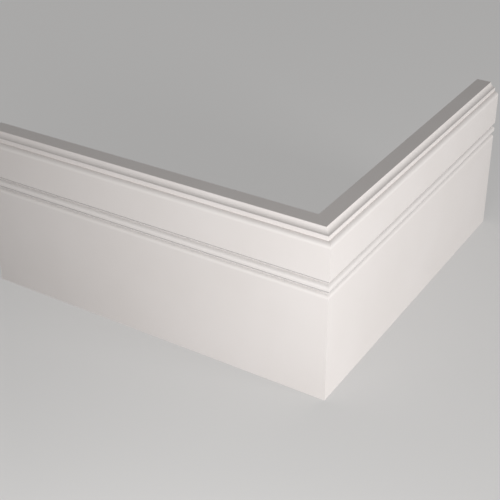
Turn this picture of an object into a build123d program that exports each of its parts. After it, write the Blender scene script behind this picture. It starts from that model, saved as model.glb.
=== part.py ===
"""Skirting board round an outside corner: two lengths of one moulded board, mitred together.

Millimetres, +Z up. The origin is the corner of the wall at floor level. One wall runs along -X and
the other along +Y, and each board stands on the floor with its back flat against its wall.
"""
import os
from math import radians, tan

from build123d import *

# Overall sizes
BOARD_HEIGHT = 120.0
BOARD_THICKNESS = 18.0  # back to upper face
LEFT_RUN = 254.5  # wall corner to the square-cut end
RIGHT_RUN = 254.5

# Stepped top edge, from the upper face back to the flat top
OVOLO_RADIUS = 3.1  # rounded shoulder that ends the upper face
STEP_HEIGHT = 3.1  # upright band between the ovolo and the cove
COVE_RADIUS = 3.6  # hollow below the flat top

# Sunk bead: two V grooves with the bead between them, flush with the upper face
GROOVE_EDGE_HEIGHT = 87.5  # upper edge of the upper groove, above the floor
GROOVE_PITCH = 6.95  # from the bottom of one groove to the bottom of the other
GROOVE_DEPTH = 2.9  # from the upper face
UNDERCUT_ANGLE = 44.0  # of each groove's upper side, off upright
SHELF_ANGLE = 12.0  # of each groove's lower side, off level
BEAD_TOP_RADIUS = 2.0
BEAD_FOOT_RADIUS = 1.0
SHOULDER_RADIUS = 2.0  # where the lower groove runs out to the lower face
LOWER_FACE_SETBACK = 0.3  # behind the upper face

# Machined edges, softened by the coats of paint
ARRIS_RADIUS = 0.25

# Stepped top edge: depths from the wall and heights above the floor
step_face = BOARD_THICKNESS - OVOLO_RADIUS
flat_top_width = step_face - COVE_RADIUS
step_top = BOARD_HEIGHT - COVE_RADIUS
ovolo_foot = step_top - STEP_HEIGHT - OVOLO_RADIUS

# Grooves: how far each side rises or falls between the groove's bottom and the face it ends at
lower_face = BOARD_THICKNESS - LOWER_FACE_SETBACK
groove_bottom = BOARD_THICKNESS - GROOVE_DEPTH
undercut_rise = GROOVE_DEPTH / tan(radians(UNDERCUT_ANGLE))
bead_shelf_fall = GROOVE_DEPTH * tan(radians(SHELF_ANGLE))
shoulder_shelf_fall = (lower_face - groove_bottom) * tan(radians(SHELF_ANGLE))
upper_groove_height = GROOVE_EDGE_HEIGHT - undercut_rise
lower_groove_height = upper_groove_height - GROOVE_PITCH

# Corners of the section that are rounded
top_arris = (flat_top_width, BOARD_HEIGHT)
step_arris = (step_face, step_top)
groove_arris = (BOARD_THICKNESS, GROOVE_EDGE_HEIGHT)
bead_top = (BOARD_THICKNESS, upper_groove_height - bead_shelf_fall)
bead_foot = (BOARD_THICKNESS, lower_groove_height + undercut_rise)
shoulder = (lower_face, lower_groove_height - shoulder_shelf_fall)

# Section of the moulding: X is the depth from the wall, Y the height above the floor
with BuildSketch() as section:
    with BuildLine():
        outline = Polyline(
            top_arris,
            (0, BOARD_HEIGHT),
            (0, 0),
            (lower_face, 0),
            shoulder,
            (groove_bottom, lower_groove_height),
            bead_foot,
            bead_top,
            (groove_bottom, upper_groove_height),
            groove_arris,
            (BOARD_THICKNESS, ovolo_foot),
        )
        ovolo = JernArc(outline @ 1, (0, 1), OVOLO_RADIUS, 90)
        step = Line(ovolo @ 1, step_arris)
        cove = JernArc(step @ 1, (-1, 0), COVE_RADIUS, -90)
    make_face()
    fillet(section.vertices().sort_by_distance(bead_top)[0], BEAD_TOP_RADIUS)
    fillet(section.vertices().sort_by_distance(bead_foot)[0], BEAD_FOOT_RADIUS)
    fillet(section.vertices().sort_by_distance(shoulder)[0], SHOULDER_RADIUS)
    for arris in (top_arris, step_arris, groove_arris):
        fillet(section.vertices().sort_by_distance(arris)[0], ARRIS_RADIUS)

# The mitre stands upright and halves the corner
mitre = Plane(origin=(0, 0, 0), z_dir=(1, 1, 0))

# Left board, against the wall that runs along -X
with BuildPart() as left_board:
    with BuildSketch(Plane(origin=(-LEFT_RUN, 0, 0), x_dir=(0, -1, 0), z_dir=(-1, 0, 0))):
        add(section.sketch)
    extrude(amount=-(LEFT_RUN + BOARD_THICKNESS))
    split(bisect_by=mitre, keep=Keep.BOTTOM)

# Right board, against the wall that runs along +Y
with BuildPart() as right_board:
    with BuildSketch(Plane(origin=(0, RIGHT_RUN, 0), x_dir=(1, 0, 0), z_dir=(0, -1, 0))):
        add(section.sketch)
    extrude(amount=RIGHT_RUN + BOARD_THICKNESS)
    split(bisect_by=mitre, keep=Keep.TOP)

os.makedirs("parts", exist_ok=True)
left_board.part.label = "left_board"
export_step(left_board.part, "parts/left_board.step")
right_board.part.label = "right_board"
export_step(right_board.part, "parts/right_board.step")
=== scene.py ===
"""Studio picture of a white moulded skirting board that turns an outside corner.

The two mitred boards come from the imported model. This script paints them, stands them on a plain pale
floor under soft lamps, and sets the camera where the photograph was taken. Lengths are in metres.
"""
import math

import bmesh
import bpy
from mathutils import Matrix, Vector


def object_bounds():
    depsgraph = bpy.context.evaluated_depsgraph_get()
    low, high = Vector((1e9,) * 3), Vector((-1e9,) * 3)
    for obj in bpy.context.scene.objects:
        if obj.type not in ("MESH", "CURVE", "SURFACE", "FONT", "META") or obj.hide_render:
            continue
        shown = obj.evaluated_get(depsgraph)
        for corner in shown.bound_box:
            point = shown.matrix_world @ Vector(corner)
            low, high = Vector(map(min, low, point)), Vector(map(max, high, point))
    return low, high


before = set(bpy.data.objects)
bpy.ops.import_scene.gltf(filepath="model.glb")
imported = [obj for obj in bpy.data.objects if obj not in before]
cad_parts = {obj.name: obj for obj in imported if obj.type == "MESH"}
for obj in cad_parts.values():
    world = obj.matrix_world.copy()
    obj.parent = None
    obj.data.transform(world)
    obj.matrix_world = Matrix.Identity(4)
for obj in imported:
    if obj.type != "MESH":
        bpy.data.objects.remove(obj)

cad_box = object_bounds()
MM = 0.001

# Camera, as fitted to the photograph's edges
CAMERA_PLACE = (0.2636, -0.5023, 0.4310)
CAMERA_AZIMUTH = 31.83  # degrees, 0 looks along +Y
CAMERA_ELEVATION = 28.05  # degrees above the floor's level
CAMERA_LENS = 78.12  # millimetres
CAMERA_SENSOR = 36.0  # millimetres
CAMERA_SHIFT_DOWN = 0.1  # of the picture's width
CAMERA_NEAR = 0.01
CAMERA_FAR = 50.0

# The boards: the left one ends at the lowest X and the right one at the highest Y, and their backs meet
# the walls at Y = 0 and X = 0
LEFT_END = cad_box[0][0]
RIGHT_END = cad_box[1][1]
BOARD_THICKNESS = -cad_box[0][1]
SAWN_SKIN = 0.05 * MM  # a surface this near to a sawn plane belongs to it

# Satin paint on the moulded face and the flat top
PAINT_WHITE = (0.80, 0.755, 0.732)
PAINT_SHADE = (0.778, 0.732, 0.706)  # where the coats lie thinner
PAINT_ROUGHNESS = 0.5
PAINT_ROUGHNESS_SPREAD = 0.08
PAINT_SHEEN = 1.0  # 0.5 is that of plain plastic
PAINT_CLOUD = 18.0  # soft patches of tone, a metre
PAINT_CLOUD_CONTRAST = 3.0
ORANGE_PEEL = 700.0  # ripples of the sprayed coat, a metre
ORANGE_PEEL_HEIGHT = 0.006 * MM

# Machined grooves: painted shade inside them (a greyer, darker tone) with duller, rougher paint, and a
# painted shadow line under the upper edge of each of the grooves
GROOVES_FROM = 77.0 * MM
GROOVES_TO = 87.6 * MM
GROOVE_FULL_DEPTH = 1.6 * MM  # painted shade and dullness are full from here in
GROOVE_PAINTED_SHADE = (0.755, 0.728, 0.712)
GROOVE_EXTRA_ROUGHNESS = 0.12
# Painted shadow line under the upper edge of each of the grooves
SHADOW_LINE_HEIGHTS = (87.1 * MM, 80.5 * MM)
SHADOW_LINE_REACH = 0.9 * MM  # fades out this far above and below
SHADOW_LINE_FIRMNESS = 1.6  # 1 fades from the middle, more keeps the middle even
SHADOW_LINE_DEPTH = 0.05 * MM  # starts this far behind the upper face
PAINTED_SHADOW_LINE_TONE = (0.40, 0.382, 0.374)

# Painted highlight on the rounded edges, lighter where they catch the light: the ovolo's foot, the bead and
# the shoulder
HIGHLIGHT_HEIGHTS = (110.9 * MM, 82.5 * MM, 75.8 * MM)
HIGHLIGHT_REACH = 1.4 * MM  # fades out this far above and below
PAINTED_HIGHLIGHT_WHITE = (0.845, 0.80, 0.775)

# Thin flat sealer on the back, the bottom and the sawn ends
SEALER_WHITE = (0.745, 0.707, 0.682)
SEALER_THIN = (0.69, 0.65, 0.622)
SEALER_ROUGHNESS = 0.75
ROLLER_STREAKS = (12.0, 12.0, 260.0)  # a metre, so each streak is long along the board and low
STREAK_CONTRAST = 2.2
SAWN_SPECKLE = 1400.0  # fibres, a metre
SPECKLE_CONTRAST = 0.8
SPECKLE_HEIGHT = 0.03 * MM

# Floor and backdrop
FLOOR_RADIUS = 6.0
FLOOR_SEGMENTS = 96
FLOOR_LIT = (0.36, 0.355, 0.35)  # the part that takes the light and the shadow
FLOOR_GLOW = (0.30, 0.297, 0.294)  # the even part under it
FLOOR_BOUNCE = (0.25, 0.25, 0.25)  # what the floor is for the light that it throws on to the boards
BACKDROP_SEEN = (0.385, 0.381, 0.377)
SKY_WHITE = (1.0, 1.0, 1.0)
SKY_LIGHT = 0.222

# Lamps: name, place, width, power in watts, and whether it shows in the paint's sheen. The back one
# stands well past the floor's edge, so it throws no bright pool on the floor.
LAMPS_POINT_AT = (0.0, 0.0, 0.06)
LAMPS = (
    ("front_lamp", (0.135, -0.372, 0.116), 0.2, 1.02, True),
    ("front_fill", (0.0, -0.476, 0.215), 0.3, 0.5, True),
    ("right_lamp", (0.792, 0.0, 0.183), 0.35, 4.5, True),
    ("back_fill", (-8.0, 8.0, 0.5), 1.0, 650.0, False),
)


class Value:
    """A socket of a node tree; arithmetic on it adds Math nodes."""

    def __init__(self, shader, socket):
        self.shader = shader
        self.socket = socket

    def output(self, name):
        """Another output of the same node."""
        return Value(self.shader, self.socket.node.outputs[name])

    def math(self, operation, *terms):
        """The result of a Math node on the terms, in their order."""
        return self.shader.node("ShaderNodeMath", {"operation": operation}, dict(enumerate(terms)))

    def __add__(self, other):
        return self.math("ADD", self, other)

    __radd__ = __add__

    def __mul__(self, other):
        return self.math("MULTIPLY", self, other)

    __rmul__ = __mul__

    def __sub__(self, other):
        return self.math("SUBTRACT", self, other)

    def __rsub__(self, other):
        return self.math("SUBTRACT", other, self)

    def __lt__(self, other):
        return self.math("LESS_THAN", self, other)

    def __gt__(self, other):
        return self.math("GREATER_THAN", self, other)

    def maximum(self, other):
        """The larger of the two; of two masks, what either covers."""
        return self.math("MAXIMUM", self, other)

    def size(self):
        """The value without its sign."""
        return self.math("ABSOLUTE", self)

    def clamped(self):
        """The value kept between 0 and 1."""
        return self.shader.node("ShaderNodeClamp", inputs={"Value": self})

    def contrast(self, factor):
        """A random field's distance from 0.5, its middle, made larger or smaller."""
        return factor * (self - 0.5)


class Shader:
    """One node tree, filled a node at a time."""

    def __init__(self, tree):
        self.tree = tree
        tree.nodes.clear()

    def node(self, kind, settings=None, inputs=None, output=0):
        """Adds a node, sets it up, fills its inputs and gives one of its outputs."""
        made = self.tree.nodes.new(kind)
        for name, value in (settings or {}).items():
            setattr(made, name, value)
        for name, value in (inputs or {}).items():
            if isinstance(value, Value):
                self.tree.links.new(value.socket, made.inputs[name])
            else:
                made.inputs[name].default_value = value
        return Value(self, made.outputs[output]) if made.outputs else None

    def blend(self, factor, first, second):
        """Colour that goes from the first to the second as the factor goes from 0 to 1."""
        # A Mix node's colours are its inputs 6 and 7 and its output 2
        return self.node("ShaderNodeMix", {"data_type": "RGBA"}, {0: factor, 6: first, 7: second}, output=2)

    def noise(self, place, patches, detail):
        """Even random field about 0.5, with so many patches a metre."""
        return self.node("ShaderNodeTexNoise", inputs={"Vector": place, "Scale": patches, "Detail": detail})

    def stretch(self, place, factors):
        """The place with each of its three numbers multiplied by its own factor."""
        return self.node("ShaderNodeVectorMath", {"operation": "MULTIPLY"}, {0: place, 1: factors})


def colour(rgb):
    """The colour with the fourth number that a socket wants."""
    return (*rgb, 1.0)


def new_material(name):
    """An empty material and its shader."""
    material = bpy.data.materials.new(name)
    material.use_nodes = True
    return material, Shader(material.node_tree)


def seen_ray(shader):
    """1 for what the camera sees, straight on or in a reflection, and 0 for light that bounces."""
    rays = shader.node("ShaderNodeLightPath", output="Is Camera Ray")
    return rays.maximum(rays.output("Is Glossy Ray")).maximum(rays.output("Is Transmission Ray"))


def floor_material():
    """Pale to look at, and darker for the light that bounces off it on to the boards."""
    material, shader = new_material("studio_floor")
    lit = shader.node("ShaderNodeBsdfDiffuse", inputs={"Color": colour(FLOOR_LIT)})
    glow = shader.node("ShaderNodeEmission", inputs={"Color": colour(FLOOR_GLOW), "Strength": 1.0})
    seen = shader.node("ShaderNodeAddShader", inputs={0: lit, 1: glow})
    bounce = shader.node("ShaderNodeBsdfDiffuse", inputs={"Color": colour(FLOOR_BOUNCE)})
    surface = shader.node("ShaderNodeMixShader", inputs={0: seen_ray(shader), 1: bounce, 2: seen})
    shader.node("ShaderNodeOutputMaterial", inputs={"Surface": surface})
    return material


def bands(z, heights, reach, firmness=1.0):
    """1 at each of the heights, fading to 0 at the reach above and below it."""
    fades = [((reach - (z - height).size()) * (firmness / reach)).clamped() for height in heights]
    return sum(fades[1:], fades[0])


def sawn_sides(x, y, z, from_wall):
    """1 on the back, the bottom and both ends, and 0 on the moulded face and the top."""
    back = from_wall < SAWN_SKIN
    bottom = z < SAWN_SKIN
    ends = (x < LEFT_END + SAWN_SKIN).maximum(y > RIGHT_END - SAWN_SKIN)
    return back.maximum(bottom).maximum(ends)


def paint_coat(shader, place, z, depth):
    """Tone, roughness and relief of the paint, at a depth behind the upper face, with painted shade and
    highlights.
    """
    cloud = shader.noise(place, PAINT_CLOUD, detail=2.0)
    thin_coat = (cloud.contrast(PAINT_CLOUD_CONTRAST) + 0.5).clamped()
    painted_highlight = bands(z, HIGHLIGHT_HEIGHTS, HIGHLIGHT_REACH)
    groove_shade_and_dullness = (depth * (1 / GROOVE_FULL_DEPTH)).clamped() * (z > GROOVES_FROM) * (z < GROOVES_TO)
    painted_shadow_line = bands(z, SHADOW_LINE_HEIGHTS, SHADOW_LINE_REACH, SHADOW_LINE_FIRMNESS) * (depth > SHADOW_LINE_DEPTH)

    tone = shader.blend(thin_coat, colour(PAINT_WHITE), colour(PAINT_SHADE))
    # Painted highlight along the rounded edges
    tone = shader.blend(painted_highlight, tone, colour(PAINTED_HIGHLIGHT_WHITE))
    # Painted shade inside the grooves, where less light reaches
    tone = shader.blend(groove_shade_and_dullness, tone, colour(GROOVE_PAINTED_SHADE))
    # Painted shadow under the upper edge of each of the grooves
    tone = shader.blend(painted_shadow_line, tone, colour(PAINTED_SHADOW_LINE_TONE))
    roughness = PAINT_ROUGHNESS + cloud.contrast(PAINT_ROUGHNESS_SPREAD) + GROOVE_EXTRA_ROUGHNESS * groove_shade_and_dullness
    relief = ORANGE_PEEL_HEIGHT * shader.noise(place, ORANGE_PEEL, detail=1.0)
    return tone, roughness, relief


def sealer_coat(shader, place):
    """Tone and relief of the sealer: roller streaks, and the fibres that show through it."""
    streak = shader.noise(shader.stretch(place, ROLLER_STREAKS), 1.0, detail=3.0)
    speckle = shader.noise(place, SAWN_SPECKLE, detail=1.0)
    thin = (streak.contrast(STREAK_CONTRAST) + speckle.contrast(SPECKLE_CONTRAST) + 0.5).clamped()
    return shader.blend(thin, colour(SEALER_WHITE), colour(SEALER_THIN)), SPECKLE_HEIGHT * speckle


def board_material():
    """Satin white paint on the moulded sides, and thin flat sealer on the sawn ones."""
    material, shader = new_material("painted_board")
    place = shader.node("ShaderNodeTexCoord", output="Object")
    x = shader.node("ShaderNodeSeparateXYZ", inputs={"Vector": place}, output="X")
    y = x.output("Y")
    z = x.output("Z")
    from_wall = x.maximum(0.0 - y)

    sawn = sawn_sides(x, y, z, from_wall)
    paint_tone, paint_roughness, paint_relief = paint_coat(shader, place, z, BOARD_THICKNESS - from_wall)
    sealer_tone, sealer_relief = sealer_coat(shader, place)
    relief = paint_relief + sawn * (sealer_relief - paint_relief)
    surface = shader.node("ShaderNodeBsdfPrincipled", inputs={
        "Base Color": shader.blend(sawn, paint_tone, sealer_tone),
        "Roughness": paint_roughness + sawn * (SEALER_ROUGHNESS - paint_roughness),
        "Specular IOR Level": PAINT_SHEEN,
        "Normal": shader.node("ShaderNodeBump", inputs={"Height": relief, "Distance": 1.0}),
    })
    shader.node("ShaderNodeOutputMaterial", inputs={"Surface": surface})
    return material


def paint_boards():
    """Gives both boards the same material."""
    material = board_material()
    for name in ("left_board", "right_board"):
        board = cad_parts[name]
        board.data.materials.clear()
        board.data.materials.append(material)


def make_floor():
    """A wide plain floor at the boards' feet."""
    mesh = bpy.data.meshes.new("studio_floor")
    shape = bmesh.new()
    bmesh.ops.create_circle(shape, cap_ends=True, segments=FLOOR_SEGMENTS, radius=FLOOR_RADIUS)
    shape.to_mesh(mesh)
    shape.free()
    mesh.materials.append(floor_material())
    floor = bpy.data.objects.new("studio_floor", mesh)
    bpy.context.scene.collection.objects.link(floor)


def make_lamp(name, place, width, power, in_sheen):
    """A square soft lamp turned to the boards."""
    data = bpy.data.lights.new(name, "AREA")
    data.shape = "SQUARE"
    data.size = width
    data.energy = power
    lamp = bpy.data.objects.new(name, data)
    lamp.location = place
    lamp.rotation_mode = "QUATERNION"
    lamp.rotation_quaternion = (Vector(LAMPS_POINT_AT) - Vector(place)).to_track_quat("-Z", "Y")
    lamp.visible_camera = False
    lamp.visible_glossy = in_sheen
    bpy.context.scene.collection.objects.link(lamp)


def make_sky():
    """Even light from all round, with a pale backdrop where the camera looks past the floor."""
    world = bpy.data.worlds.new("studio")
    world.use_nodes = True
    shader = Shader(world.node_tree)
    light = shader.node("ShaderNodeBackground", inputs={"Color": colour(SKY_WHITE), "Strength": SKY_LIGHT})
    backdrop = shader.node("ShaderNodeBackground", inputs={"Color": colour(BACKDROP_SEEN), "Strength": 1.0})
    sky = shader.node("ShaderNodeMixShader", inputs={0: seen_ray(shader), 1: light, 2: backdrop})
    shader.node("ShaderNodeOutputWorld", inputs={"Surface": sky})
    bpy.context.scene.world = world


def make_camera():
    """The camera, turned by its azimuth and elevation."""
    data = bpy.data.cameras.new("camera")
    data.lens = CAMERA_LENS
    data.sensor_width = CAMERA_SENSOR
    data.shift_y = -CAMERA_SHIFT_DOWN
    data.clip_start = CAMERA_NEAR
    data.clip_end = CAMERA_FAR
    azimuth = math.radians(CAMERA_AZIMUTH)
    elevation = math.radians(CAMERA_ELEVATION)
    level = math.cos(elevation)
    looks_along = Vector((-math.sin(azimuth) * level, math.cos(azimuth) * level, -math.sin(elevation)))
    camera = bpy.data.objects.new("camera", data)
    camera.location = CAMERA_PLACE
    camera.rotation_mode = "QUATERNION"
    camera.rotation_quaternion = looks_along.to_track_quat("-Z", "Y")
    bpy.context.scene.collection.objects.link(camera)
    bpy.context.scene.camera = camera


paint_boards()
make_floor()
for lamp_settings in LAMPS:
    make_lamp(*lamp_settings)
make_sky()
make_camera()
bpy.context.scene.view_settings.view_transform = "Standard"
